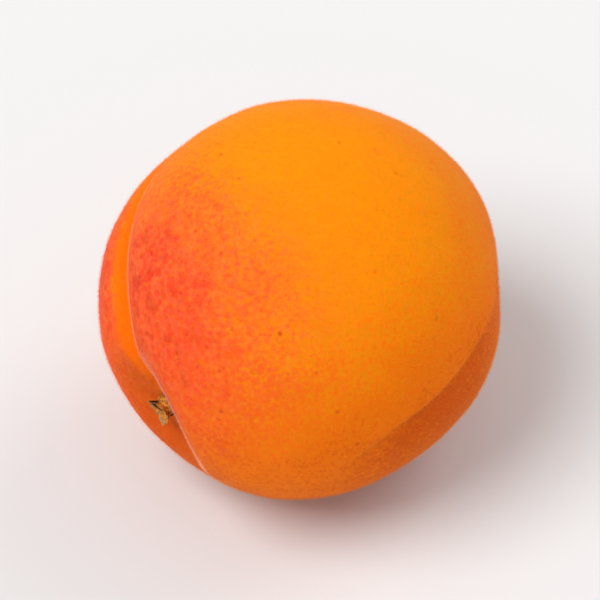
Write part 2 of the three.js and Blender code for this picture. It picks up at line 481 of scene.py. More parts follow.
class Graph:
    """A material's nodes, made from expressions."""

    def __init__(self, name: str) -> None:
        """Starts a material with one Principled shader.

        Args:
            name: the material's name.
        """
        self.material = bpy.data.materials.new(name)
        self.material.use_nodes = True
        self.tree = self.material.node_tree
        self.shader = self.tree.nodes["Principled BSDF"]

    def node(
        self,
        kind: str,
        settings: dict[str, object] | None = None,
        sockets: dict[str | int, object] | None = None,
        output: str | int = 0,
    ) -> Sock:
        """Adds a node.

        Args:
            kind: the node's type.
            settings: its settings, such as an operation, which are set first.
            sockets: values or links for its inputs, by name or index.
            output: the output to return, by name or index.

        Returns:
            The wrapped output.
        """
        made = self.tree.nodes.new(kind)
        for name, value in (settings or {}).items():
            setattr(made, name, value)
        for key, value in (sockets or {}).items():
            self.feed(made.inputs[key], value)
        return Sock(self, made.outputs[output])

    def feed(self, socket: bpy.types.NodeSocket, value: object) -> None:
        """Links a wrapped socket to an input, or sets the input's value.

        Args:
            socket: the input.
            value: a wrapped socket, a number, a colour or a vector.
        """
        if isinstance(value, Sock):
            self.tree.links.new(value.socket, socket)
        elif isinstance(value, tuple) and socket.type == "RGBA":
            socket.default_value = (*value, 1.0)
        else:
            socket.default_value = value

    def dress(self, **values: Sock | float | Colour) -> None:
        """Feeds the shader's own sockets; an underscore in a name stands for a space."""
        for name, value in values.items():
            self.feed(self.shader.inputs[name.replace("_", " ")], value)

    def attribute(self, name: str) -> Sock:
        """The number that the mesh keeps under a name."""
        return self.node("ShaderNodeAttribute", {"attribute_name": name}, output="Fac")

    def place(self) -> Sock:
        """The place on the piece, in metres."""
        return self.node("ShaderNodeTexCoord", output="Object")

    def noise(self, place: Sock, noise: Noise) -> Sock:
        """Adds soft noise.

        Args:
            place: the place on the piece.
            noise: the noise's size and kind.

        Returns:
            Values around 0.
        """
        sockets = {
            "Vector": place,
            "Scale": 1.0 / (noise.size * MM),
            "Detail": noise.layers,
            "Roughness": noise.rough,
            "Distortion": noise.twist,
        }
        return self.node("ShaderNodeTexNoise", {}, sockets, "Fac") - NOISE_MIDDLE

    def cells(self, place: Sock, size: float, reading: Cells) -> Sock:
        """Scattered cells of a size in millimetres, and what is read from them."""
        sockets = {"Vector": place, "Scale": 1.0 / (size * MM), "Randomness": 1.0}
        return self.node("ShaderNodeTexVoronoi", {"feature": "F1"}, sockets, reading.value)

    def spots(self, place: Sock, size: float, rise: Rise) -> Sock:
        """Cells of a size, mapped along a rise or fall out from their middles."""
        return self.band(self.cells(place, size, Cells.DISTANCE), rise)

    def band(self, value: Sock, rise: Rise) -> Sock:
        """Maps a value along a smooth rise or fall.

        Args:
            value: what is mapped.
            rise: where it starts and ends.

        Returns:
            Values from 0 to 1.
        """
        low, high = (0.0, 1.0) if rise.start < rise.end else (1.0, 0.0)
        sockets = {
            "Value": value,
            "From Min": min(rise.start, rise.end),
            "From Max": max(rise.start, rise.end),
            "To Min": low,
            "To Max": high,
        }
        return self.node("ShaderNodeMapRange", {"interpolation_type": "SMOOTHSTEP"}, sockets)

    def clamped(self, value: Sock) -> Sock:
        """The value, kept between 0 and 1."""
        return self.node("ShaderNodeClamp", {}, {"Value": value})

    def mix(self, first: Sock | Colour, second: Sock | Colour, share: Value) -> Sock:
        """Mixes two colours.

        Args:
            first: the colour where the share is 0.
            second: the colour where it is 1.
            share: the second colour's share.

        Returns:
            The mixed colour.
        """
        settings = {"data_type": "RGBA", "blend_type": "MIX", "clamp_factor": True}
        sockets = {MIX_SHARE: share, MIX_FIRST: first, MIX_SECOND: second}
        return self.node("ShaderNodeMix", settings, sockets, MIX_RESULT)

    def scaled(self, colour: Sock, factor: Sock) -> Sock:
        """Makes a colour brighter or darker by a number."""
        sockets = {"Vector": colour, "Scale": factor}
        return self.node("ShaderNodeVectorMath", {"operation": "SCALE"}, sockets)

    def bump(self, height: Sock, distance: float, strength: float = 1.0) -> Sock:
        """A normal from a height whose unit is a distance in millimetres."""
        sockets = {"Height": height, "Distance": distance * MM, "Strength": strength}
        return self.node("ShaderNodeBump", {}, sockets, "Normal")


# ---- Finishes ----


@dataclass(frozen=True)
class Shares:
    """How much of the skin's clouds, mottling and grain goes into a value."""

    cloud: float = 0.0
    mottle: float = 0.0
    grain: float = 0.0

    def of(self, cloud: Sock, mottle: Sock, grain: Sock) -> Sock:
        """The three patterns added up by their shares, without those that have none."""
        pairs = ((self.cloud, cloud), (self.mottle, mottle), (self.grain, grain))
        return reduce(operator.add, (share * pattern for share, pattern in pairs if share))


@dataclass(frozen=True)
class SkinFinish:
    """Ripe apricot skin: yellow-orange, with a mottled red blush and fine speckles.

    Sizes are in millimetres. A Rise says between which values a colour or a mark comes in.
    """

    yellow: Colour = (0.95, 0.28, 0.002)
    orange: Colour = (0.93, 0.19, 0.002)
    # Deep orange is partly the skin's own tone and partly painted shade, past the crease and on the
    # fruit's shaded patches.
    deep: Colour = (0.66, 0.091, 0.002)
    blush: Colour = (0.84, 0.066, 0.024)
    dark_blush: Colour = (0.56, 0.02, 0.01)
    groove: Colour = (0.94, 0.16, 0.003)
    # The cavity colour is partly the stem cavity's duller tone and partly painted shade in that
    # hollow.
    cavity: Colour = (0.62, 0.095, 0.004)
    russet: Colour = (0.36, 0.105, 0.016)
    freckle: Colour = (0.6, 0.035, 0.006)
    scar: Colour = (0.32, 0.07, 0.012)
    # Pale is a faint real net in the blush and a painted sheen of the down along the lip's crest.
    pale: Colour = (0.98, 0.4, 0.16)
    glow_depth: float = 2.2

    cloud: Noise = Noise(7.0, 2.0, 0.5, 0.4)
    mottle: Noise = Noise(1.6, 2.0, 0.5, 0.2)
    grain: Noise = Noise(0.6, 3.0, 0.6)
    in_ground: Shares = Shares(0.5, 0.35, 1.5)
    in_blush: Shares = Shares(0.5, 0.4, 1.25)
    in_cavity: Shares = Shares(mottle=1.5, grain=1.6)
    in_lip_sheen: Shares = Shares(grain=0.9)
    in_shade: Shares = Shares(mottle=0.12, grain=0.28)

    to_orange: Rise = Rise(0.0, 0.6)
    to_deep: Rise = Rise(0.55, 1.25)
    blush_share: float = 0.96
    blush_edge: Rise = Rise(0.0, 0.35)
    blotches: Noise = Noise(1.8, 4.0, 0.65, 0.8)
    lip_darkening: float = 0.08
    to_dark: Rise = Rise(0.38, 0.66)
    dark_share: float = 0.65
    cavity_share: float = 0.95
    # Painted shade in a thin band just past the crease.
    painted_crease_shade: float = 0.12

    net_size: float = 0.85
    to_net: Rise = Rise(0.35, 0.7)
    net_share: float = 0.1
    # How strong the painted sheen along the lip's crest is.
    lip_sheen_share: float = 0.24

    cork: Noise = Noise(0.8, 4.0, 0.7, 0.6)
    cork_in_russet: float = 1.1
    to_russet: Rise = Rise(0.4, 0.85)
    russet_share: float = 0.75
    cork_in_scar: float = 0.9
    to_scar: Rise = Rise(0.5, 0.85)

    dot_size: float = 2.3
    dot_edge: Rise = Rise(0.2, 0.03)
    dot_share: float = 0.7
    dots_by_blush: float = 0.4
    to_chosen: Rise = Rise(0.62, 1.1)
    fleck_size: float = 1.1
    fleck_edge: Rise = Rise(0.3, 0.05)
    fleck_share: float = 0.1
    flecks_by_blush: float = 0.32

    dimples: Noise = Noise(2.4, 2.0, 0.5)
    dimple_share: float = 0.55
    pores: Noise = Noise(0.7, 2.0, 0.55)
    pore_share: float = 0.3
    nap: Noise = Noise(0.22, 1.0, 0.5)
    nap_share: float = 0.15
    relief_height: float = 0.3
    relief_strength: float = 0.8

    def material(self) -> bpy.types.Material:
        """Makes the skin's material.

        Returns:
            The material.
        """
        graph = Graph("apricot_skin")
        place = graph.place()
        graph.dress(
            Roughness=0.55,
            Specular_IOR_Level=0.03,
            Specular_Tint=(1.0, 0.5, 0.15),
            Subsurface_Weight=0.25,
            Subsurface_Radius=(1.0, 0.32, 0.08),
            Subsurface_Scale=self.glow_depth * MM,
            Sheen_Weight=0.08,
            Sheen_Roughness=0.35,
            Sheen_Tint=(1.0, 0.52, 0.2),
            Base_Color=self._colour(graph, place),
            Normal=self._relief(graph, place),
        )
        return graph.material

    def _colour(self, graph: Graph, place: Sock) -> Sock:
        """The skin's colour: ground, blush, hollows, scars, freckles and pale edge in turn, with
        partly painted shade in the deep ground and the cavity, painted shade along the crease, and
        a painted sheen as the pale edge.

        Args:
            graph: the material's nodes.
            place: the place on the skin.

        Returns:
            The colour.
        """
        patterns = [graph.noise(place, kind) for kind in (self.cloud, self.mottle, self.grain)]
        # The deep end of this ground tone is partly painted shade.
        warm_and_shaded = graph.attribute("warmth_and_shade") + self.in_ground.of(*patterns)
        colour = graph.mix(self.yellow, self.orange, graph.band(warm_and_shaded, self.to_orange))
        colour = graph.mix(colour, self.deep, graph.band(warm_and_shaded, self.to_deep))
        colour = graph.mix(colour, self.groove, graph.attribute("groove"))
        blush = graph.attribute("blush")
        broken = self.in_blush.of(*patterns) * graph.band(blush, self.blush_edge)
        flush = graph.clamped(self.blush_share * blush + broken)
        colour = graph.mix(colour, self.blush, flush)
        blotches = blush * (NOISE_MIDDLE + graph.noise(place, self.blotches))
        dark = blotches + self.lip_darkening * graph.attribute("lip")
        dark = graph.band(dark, self.to_dark) * self.dark_share
        colour = graph.mix(colour, self.dark_blush, dark)
        # Partly the cavity's own tone, partly painted shade in the hollow.
        hollow = graph.attribute("cavity") * (self.cavity_share + self.in_cavity.of(*patterns))
        colour = graph.mix(colour, self.cavity, graph.clamped(hollow))
        colour = self._scars(graph, place, colour)
        colour = graph.mix(colour, self.freckle, self._freckles(graph, place, blush))
        net = graph.spots(place, self.net_size, self.to_net) * blush
        # A painted sheen of the down along the lip's crest.
        edge = graph.attribute("lip_crest_sheen") * (self.lip_sheen_share + self.in_lip_sheen.of(*patterns))
        colour = graph.mix(colour, self.pale, graph.clamped(self.net_share * net + edge))
        # Random tone, less the painted shade just past the crease.
        shade = 1.0 + self.in_shade.of(*patterns) - self.painted_crease_shade * graph.attribute("crease_shade")
        return graph.scaled(colour, shade)

    def _scars(self, graph: Graph, place: Sock, colour: Sock) -> Sock:
        """Adds the corky russet round the stalk and the small dry scar at the tip.

        Args:
            graph: the material's nodes.
            place: the place on the skin.
            colour: the skin's colour so far.

        Returns:
            The colour with the scars on it.
        """
        cork = graph.noise(place, self.cork)
        russet = graph.attribute("russet") + self.cork_in_russet * cork
        russet = graph.band(russet, self.to_russet) * self.russet_share
        colour = graph.mix(colour, self.russet, russet)
        scar = graph.attribute("scar") + self.cork_in_scar * cork
        return graph.mix(colour, self.scar, graph.band(scar, self.to_scar))

    def _freckles(self, graph: Graph, place: Sock, blush: Sock) -> Sock:
        """Soft small dots of uneven strength, more of them where the skin blushes.

        Args:
            graph: the material's nodes.
            place: the place on the skin.
            blush: how red the skin is.

        Returns:
            How strong the freckle colour is, 0 to 1.
        """
        cells = {"Color": graph.cells(place, self.dot_size, Cells.COLOUR)}
        pick = graph.node("ShaderNodeSeparateColor", {}, cells, "Red")
        chosen = graph.band(pick + self.dots_by_blush * blush, self.to_chosen)
        dots = graph.spots(place, self.dot_size, self.dot_edge) * chosen
        flecks = graph.spots(place, self.fleck_size, self.fleck_edge)
        flecks = (self.fleck_share + self.flecks_by_blush * blush) * flecks
        return graph.clamped(self.dot_share * dots + flecks)

    def _relief(self, graph: Graph, place: Sock) -> Sock:
        """The skin's fine unevenness: soft dimples, pores and the down's nap.

        Args:
            graph: the material's nodes.
            place: the place on the skin.

        Returns:
            The bumped normal.
        """
        height = (
            self.dimple_share * graph.noise(place, self.dimples)
            + self.pore_share * graph.noise(place, self.pores)
            + self.nap_share * graph.noise(place, self.nap)
        )
        return graph.bump(height, self.relief_height, self.relief_strength)


@dataclass(frozen=True)
class DownFinish:
    """The fine down: it takes on the skin's tone, lighter at the tip and palest on the lip, where
    the paleness is a painted sheen.
    """

    root: Colour = (0.93, 0.25, 0.012)
    tip: Colour = (0.97, 0.53, 0.1)
    red_root: Colour = (0.84, 0.08, 0.02)
    red_tip: Colour = (0.95, 0.33, 0.13)
    # The lip's hairs end in a painted sheen.
    sheen_tip: Colour = (0.98, 0.76, 0.55)
    fading: float = 1.5
    darkest: float = 0.8
    shade_range: float = 0.3

    def material(self) -> bpy.types.Material:
        """Makes the down's material.

        Returns:
            The material.
        """
        graph = Graph("apricot_down")
        # The down reddens over the blush, the groove and the cavity, whose share is partly painted
        # shade.
        red = graph.attribute("red")
        foot = graph.mix(self.root, self.red_root, red)
        end = graph.mix(self.tip, self.red_tip, red)
        # Painted sheen on the hairs of the lip's crest.
        end = graph.mix(end, self.sheen_tip, graph.attribute("pale"))
        colour = graph.mix(foot, end, graph.attribute("along") ** self.fading)
        shade = self.darkest + self.shade_range * graph.attribute("shade")
        colour = graph.scaled(colour, shade)
        graph.dress(Roughness=0.7, Specular_IOR_Level=0.1, Base_Color=colour)
        return graph.material


@dataclass(frozen=True)
class StalkFinish:
    """The dry stalk's end: tan fibre, darker at a ragged end, with painted shade in its dish, at
    its foot and underneath.
    """

    tan: Colour = (0.74, 0.29, 0.045)
    brown: Colour = (0.24, 0.09, 0.014)
    # Near black: painted shade in the dish, at the foot and underneath, and the darker colour of
    # one ragged end.
    dark: Colour = (0.035, 0.015, 0.003)
    grey: Colour = (0.42, 0.24, 0.12)
    fibres: Noise = Noise(0.3, 4.0, 0.7, 0.35)
    specks: Noise = Noise(0.12, 2.0, 0.6)
    patches: Noise = Noise(0.9, 3.0, 0.6, 0.4)
    to_tan: Rise = Rise(-0.12, 0.12)
    specks_in_rim: float = 0.9
    to_grey: Rise = Rise(0.5, 0.95)
    grey_share: float = 0.6
    patches_in_dark: float = 1.4
    fibres_in_dark: float = 0.8
    to_dark: Rise = Rise(0.25, 0.85)
    specks_in_shade: float = 0.5
    fibre_relief: float = 0.7
    speck_relief: float = 0.3
    relief_height: float = 0.12

    def material(self) -> bpy.types.Material:
        """Makes the stalk's material.

        Returns:
            The material.
        """
        graph = Graph("dry_stalk_fibre")
        place = graph.place()
        kinds = (self.fibres, self.specks, self.patches)
        fibres, specks, patches = (graph.noise(place, kind) for kind in kinds)
        colour = graph.mix(self.brown, self.tan, graph.band(fibres, self.to_tan))
        rim = graph.attribute("rim") + self.specks_in_rim * specks
        colour = graph.mix(colour, self.grey, graph.band(rim, self.to_grey) * self.grey_share)
        # Mostly painted shade: the dish's hollow, the foot and the underside; the rest is a dark
        # ragged end.
        dark = graph.attribute("dark") + self.patches_in_dark * patches
        dark = dark + self.fibres_in_dark * fibres
        colour = graph.mix(colour, self.dark, graph.band(dark, self.to_dark))
        height = self.fibre_relief * fibres + self.speck_relief * specks
        graph.dress(
            Roughness=0.85,
            Specular_IOR_Level=0.06,
            Base_Color=graph.scaled(colour, 1.0 + self.specks_in_shade * specks),
            Normal=graph.bump(height, self.relief_height),
        )
        return graph.material


@dataclass(frozen=True)
class FloorFinish:
    """A plain pale studio floor."""

    pale: Colour = (0.74, 0.74, 0.74)

    def material(self) -> bpy.types.Material:
        """Makes the floor's material.

        Returns:
            The material.
        """
        graph = Graph("studio_floor")
        graph.dress(Base_Color=self.pale, Roughness=0.9, Specular_IOR_Level=0.1)
        return graph.material


# ---- Meshes ----


def made_mesh(
    name: str,
    points: np.ndarray,
    faces: list[list[int]],
    numbers: dict[str, np.ndarray],
    smooth: bool,
) -> bpy.types.Object:
    """Makes an object of a mesh.

    Args:
        name: the object's name.
        points: rows of x, y, z in metres.
        faces: corner lists.
        numbers: what each point keeps for the shader, by name.
        smooth: whether its faces are shaded smooth.

    Returns:
        The linked object.
    """
    mesh = bpy.data.meshes.new(name)
    mesh.from_pydata(points.tolist(), [], faces)
    for key, values in numbers.items():
        layer = mesh.attributes.new(key, "FLOAT", "POINT")
        layer.data.foreach_set("value", np.ascontiguousarray(values, dtype=np.float32))
    mesh.polygons.foreach_set("use_smooth", [smooth] * len(mesh.polygons))
    mesh.update()
    made = bpy.data.objects.new(name, mesh)
    bpy.context.collection.objects.link(made)
    return made


def add_map(made: bpy.types.Object, corners: np.ndarray) -> None:
    """Gives a mesh a flat map named OFBake, from a row for each corner."""
    layer = made.data.uv_layers.new(name="OFBake")
    layer.data.foreach_set("uv", np.ascontiguousarray(corners, dtype=np.float32).ravel())


def read_rows(elements: bpy.types.bpy_prop_collection, name: str) -> np.ndarray:
    """Reads a vector from each element of a mesh.

    Args:
        elements: the mesh's points.
        name: what is read from each.

    Returns:
        Rows of x, y, z.
    """
    values = np.empty(3 * len(elements))
    elements.foreach_get(name, values)
    return values.reshape(-1, 3)


def read_numbers(elements: bpy.types.bpy_prop_collection) -> np.ndarray:
    """Reads the number that each point of a mesh keeps.

    Args:
        elements: the layer's values.

    Returns:
        The numbers.
    """
    values = np.empty(len(elements), np.float32)
    elements.foreach_get("value", values)
    return values


def unit(rows: np.ndarray) -> np.ndarray:
    """Rows of x, y, z brought to a length of 1."""
    return rows / np.linalg.norm(rows, axis=1, keepdims=True)


@dataclass(frozen=True)
class RingMesh:
    """A closed skin of rings between two poles."""

    rings: int
    columns: int

    def grid(self, lengths: np.ndarray, turns: np.ndarray) -> tuple[np.ndarray, np.ndarray]:
        """Lays out the rings' and columns' values, one for each point.

        Args:
            lengths: a value for each ring, the two poles included.
            turns: a value for each column, and the first one again at the end.

        Returns:
            The ring values and the column values of the points.
        """
        inner = np.repeat(lengths[1:-1], self.columns)
        around = np.tile(turns[:-1], self.rings - 1)
        return (
            np.concatenate([lengths[:1], inner, lengths[-1:]]),
            np.concatenate([turns[:1], around, turns[:1]]),
        )

    def dome(self) -> list[list[int]]:
        """The faces but for the last pole's.

        Returns:
            The corner lists: a fan at the first pole, then rings of quads.
        """
        column, after = self._columns()
        made = [[0, 1 + a, 1 + b] for a, b in zip(column, after)]
        for ring in range(self.rings - 2):
            here = 1 + ring * self.columns
            below = here + self.columns
            corners = [here + column, below + column, below + after, here + after]
            made += np.stack(corners, 1).tolist()
        return made

    def faces(self) -> list[list[int]]:
        """All the faces.

        Returns:
            The corner lists: the dome's, then a fan at the last pole.
        """
        column, after = self._columns()
        base = 1 + (self.rings - 2) * self.columns
        last = base + self.columns
        return self.dome() + [[last, base + b, base + a] for a, b in zip(column, after)]

    def corners(self) -> np.ndarray:
        """The flat map.

        Returns:
            A row for each corner, in the order of the faces.
        """
        column = np.arange(self.columns)
        left, right = column / self.columns, (column + 1) / self.columns
        middle = (left + right) / 2
        step = 1.0 / self.rings
        rows = [self._flat((middle, 0.0), (left, step), (right, step))]
        for ring in range(1, self.rings - 1):
            high, low = ring * step, (ring + 1) * step
            rows.append(self._flat((left, high), (left, low), (right, low), (right, high)))
        rows.append(self._flat((middle, 1.0), (right, 1.0 - step), (left, 1.0 - step)))
        return np.concatenate(rows)

    def _columns(self) -> tuple[np.ndarray, np.ndarray]:
        """The columns' numbers, and the number of the column after each."""
        column = np.arange(self.columns)
        return column, (column + 1) % self.columns

    def _flat(self, *places: tuple[np.ndarray, float]) -> np.ndarray:
        """The map's rows for one ring of faces, from the places of their corners in turn."""
        pairs = [np.stack([across, np.full(self.columns, down)], 1) for across, down in places]
        return np.stack(pairs, 1).reshape(-1, 2)


# ---- The fruit's skin ----


@dataclass(frozen=True)
class Zones:
    """Where the skin's colours and marks lie, in millimetres across and degrees along.

    A distance across is from the suture line, or from the crease, and a length along is
    an angle from the stem axis.
    """

    form: FruitForm = FruitForm()

    near_blush: tuple[Patch, ...] = (
        Patch(49.5, -4.0, 7.4, 0.95),
        Patch(33.0, -35.0, 8.2, 0.78),
        Patch(70.0, -46.0, 6.5, 0.25),
    )
    far_blush: Patch = Patch(40.0, 44.0, 5.2, 1.0)
    near_side: Rise = Rise(0.4, -1.2)
    far_side: Rise = Rise(1.2, 2.6)
    blush_wanes: Rise = Rise(70.0, 95.0)
    blush_waning: float = 0.55

    ground_warmth: float = 0.42
    bright: Patch = Patch(97.0, -46.0, 2.3, 0.6)
    # Patches of deep orange, fitted where the fruit lay in shade: partly the skin's tone and partly
    # painted shade, on the side past the crease, the stem end's far cheek and beside the stem on
    # the near side.
    deep_and_shaded_patches: tuple[Patch, ...] = (
        Patch(99.0, -146.0, 2.2, 0.68),
        Patch(24.0, 145.0, 7.5, 0.95),
        Patch(27.0, -48.0, 12.0, 0.4),
    )
    # Painted shade past the crease, as a deeper ground colour.
    past_crease_shade: float = 0.3
    crease_shade_starts: Rise = Rise(52.0, 95.0)
    crease_shade_ends: Rise = Rise(112.0, 172.0)
    past_crease: Rise = Rise(-0.5, 1.6)
    crease_reach: float = 8.0
    # A thin band of painted shade just past the crease.
    crease_shade: Hill = Hill(0.5, 0.7)

    groove: Hill = Hill(0.7, 1.3)
    # The cavity's colour: partly its own tone, partly painted shade in the hollow.
    cavity_share: float = 0.9
    cavity_spread: float = 1.2
    to_stalk: Hill = Hill(0.9, 1.0)
    to_stalk_starts: Rise = Rise(9.0, 16.0)
    to_stalk_share: float = 0.85

    lip: Hill = Hill(-3.2, 1.8)
    lip_polar: float = 32.0
    lip_length: float = 0.4  # radians
    # The lip's crest and the cavity's rim carry the down's painted sheen.
    crest: Hill = Hill(-1.9, 0.5)
    crest_drift: float = 1.5
    crest_drifts: Rise = Rise(40.0, 75.0)
    crest_fades: Rise = Rise(105.0, 55.0)
    rim: Hill = Hill(1.45, 0.15)
    rim_side: Rise = Rise(-0.2, -0.6)

    russet_at_stem: float = 2.6
    russet_at_tip: float = 1.7
    scar_radius: float = 1.0

    def numbers(self, polar: np.ndarray, turn: np.ndarray) -> dict[str, np.ndarray]:
        """What each point keeps for the shader.

        Args:
            polar: the points' polar angles.
            turn: their turns from the suture.

        Returns:
            Numbers by name, mostly between 0 and 1.
        """
        form = self.form
        direction = direction_of(polar, form.azimuth(polar, turn))
        at_stem = direction[:, 2] > 0
        across = form.across(polar, turn)
        from_axis = form.from_axis(polar)
        strength = form.suture_strength(polar)
        to_stalk = self.to_stalk.at(across) * self.to_stalk_starts.at(np.degrees(polar))
        cavity = self.cavity_share * form.in_cavity(direction, self.cavity_spread)
        along_lip = bell(polar - math.radians(self.lip_polar), self.lip_length)
        russet_radius = np.where(at_stem, self.russet_at_stem, self.russet_at_tip)
        # The deep ground and the cavity carry partly painted shade, the crease band painted shade,
        # and the lip's crest a painted sheen.
        return {
            "blush": self._blush(direction, polar, across),
            "warmth_and_shade": self._warmth_and_shade(direction, polar, turn),
            "groove": strength * self.groove.at(across),
            "cavity": cavity * (1.0 - self.to_stalk_share * to_stalk),
            "crease_shade": form.crease_run(polar) * self.crease_shade.at(form.beyond_crease(polar, turn)),
            "lip": strength * self.lip.at(across) * along_lip,
            "lip_crest_sheen": self._lip_crest_sheen(direction, polar, across),
            "russet": bell(from_axis, russet_radius),
            "scar": bell(from_axis, self.scar_radius) * (direction[:, 2] < 0),
        }

    def _blush(
        self, direction: np.ndarray, polar: np.ndarray, across: np.ndarray
    ) -> np.ndarray:
        """Where the sun reddened the skin: the shoulders on both sides of the suture.

        Args:
            direction: the points' directions.
            polar: their polar angles.
            across: their distances from the suture line.

        Returns:
            The redness, 0 to 1.
        """
        pale = 1.0
        for patch in self.near_blush:
            pale = pale * (1.0 - patch.amount(direction))
        waning = 1.0 - self.blush_waning * self.blush_wanes.at(np.degrees(polar))
        near = self.near_side.at(across) * (1.0 - pale) * waning
        far = self.far_side.at(across) * self.far_blush.amount(direction)
        return np.clip(near + far, 0.0, 1.0)

    def _warmth_and_shade(self, direction: np.ndarray, polar: np.ndarray, turn: np.ndarray) -> np.ndarray:
        """How far the ground colour has gone from yellow to deep orange, with painted shade past
        the crease and, in part, in the patches of deep orange.

        Args:
            direction: the points' directions.
            polar: their polar angles.
            turn: their turns from the suture.

        Returns:
            The warmth, about 0 to 1.
        """
        degrees = np.degrees(polar)
        beyond = self.form.beyond_crease(polar, turn)
        run = self.crease_shade_starts.at(degrees) * (1.0 - self.crease_shade_ends.at(degrees))
        away = np.maximum(beyond - self.past_crease.end, 0.0)
        crease = run * self.past_crease.at(beyond) * bell(away, self.crease_reach)
        warmth_and_shade = self.ground_warmth + self.past_crease_shade * crease - self.bright.amount(direction)
        return warmth_and_shade + sum(patch.amount(direction) for patch in self.deep_and_shaded_patches)

    def _lip_crest_sheen(
        self, direction: np.ndarray, polar: np.ndarray, across: np.ndarray
    ) -> np.ndarray:
        """Where the down's painted sheen lies: the crest of the near lip, and of the cavity's rim
        where the lip runs into it.

        Args:
            direction: the points' directions.
            polar: their polar angles.
            across: their distances from the suture line.

        Returns:
            How near each point is to the crest, 0 to 1.
        """
        degrees = np.degrees(polar)
        near = self.crest.at(across + self.crest_drift * self.crest_drifts.at(degrees))
        lip = self.form.suture_strength(polar) * near * self.crest_fades.at(degrees)
        along, aside = self.form.cavity_place(direction)
        rim = self.rim.at(np.hypot(along, aside)) * self.rim_side.at(aside)
        return np.maximum(lip, np.where(direction[:, 2] < 0, 0.0, rim))


@dataclass(frozen=True)
class Crowding:
    """How much closer a mesh's lines run at a place: by how much, over how many degrees."""

    amount: float
    width: float

    def at(self, distance: np.ndarray) -> np.ndarray:
        """What it adds to the lines' density at a distance from the place."""
        return self.amount * bell(distance, math.radians(self.width))


@dataclass
class Skin:
    """The apricot's skin, on a fine mesh of its solid's own form. Lumps in millimetres."""

    zones: Zones = Zones()
    lie: Lie = Lie()
    finish: SkinFinish = SkinFinish()
    rings: int = 288
    columns: int = 336
    stem_crowding: Crowding = Crowding(1.3, 22.0)
    tip_crowding: Crowding = Crowding(1.0, 12.0)
    suture_crowding: Crowding = Crowding(3.5, 10.0)
    crease_crowding: Crowding = Crowding(1.2, 8.0)
    lump_lengths: tuple[float, ...] = (17.0, 13.0, 10.0, 8.0, 6.5, 5.2)
    lump_waves: int = 3
    lump_height: float = 0.07
    seed: int = 8

    def build(self) -> bpy.types.Object:
        """Builds and dresses the skin.

        Returns:
            The piece.
        """
        form = self.zones.form
        mesh = RingMesh(self.rings, self.columns)
        polars = spaced(self.rings, 0.0, HALF_TURN, self._ring_density)
        turns = spaced(self.columns, -HALF_TURN, HALF_TURN, self._column_density)
        polar, turn = mesh.grid(polars, turns)
        own = form.points(polar, turn)
        own = own * (1.0 + self._lumps(own)[:, None] / form.mean_radius)
        points = self.lie.place(own)
        points[:, 2] = np.maximum(points[:, 2], 0.0)
        numbers = self.zones.numbers(polar, turn)
        made = made_mesh("fruit_skin", points, mesh.faces(), numbers, True)
        add_map(made, mesh.corners())
        made.data.materials.append(self.finish.material())
        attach(made, BODY)
        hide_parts("fruit")
        return made

    def _ring_density(self, polar: np.ndarray) -> np.ndarray:
        """How closely the rings lie at each polar angle."""
        return 1.0 + self.stem_crowding.at(polar) + self.tip_crowding.at(polar - HALF_TURN)

    def _column_density(self, turn: np.ndarray) -> np.ndarray:
        """How closely the columns lie at each turn."""
        crease = math.radians(self.zones.form.crease_turn)
        return 1.0 + self.suture_crowding.at(turn) + self.crease_crowding.at(turn - crease)

    def _lumps(self, own: np.ndarray) -> np.ndarray:
        """Broad, very low lumps, from a few crossed waves.

        Args:
            own: the skin's points in the fruit's own frame.

        Returns:
            Their heights, in millimetres.
        """
        rng = np.random.default_rng(self.seed)
        total = np.zeros(len(own))
        for length in self.lump_lengths:
            for _ in range(self.lump_waves):
                way = rng.normal(size=3)
                way = way / np.linalg.norm(way)
                phase = rng.uniform(0, FULL_TURN)
                height = length / self.lump_lengths[0]
                total += height * np.sin(FULL_TURN * own @ way / length + phase)
        return self.lump_height * total / self.lump_waves


# ---- The down ----


@dataclass(frozen=True)
class Roots:
    """Where hairs grow: places, the skin's normals, how red the down is there, and how pale, which
    is a painted sheen.
    """

    places: np.ndarray
    normals: np.ndarray
    red: np.ndarray
    pale: np.ndarray


# A needle's faces: three sides up to its tip, point 3, and its foot. The flat map gives the
# sides one shape and the foot another, on a sheet of squares with one tone in each.
NEEDLE_FACES = ((0, 1, 3), (1, 2, 3), (2, 0, 3), (2, 1, 0))
NEEDLE_POINTS = 4
SIDE_SHAPE = ((0.02, 0.02), (0.1, 0.02), (0.06, 0.1))
FOOT_SHAPE = ((0.02, 0.005), (0.1, 0.005), (0.06, 0.015))
SHEET_SQUARES = 8


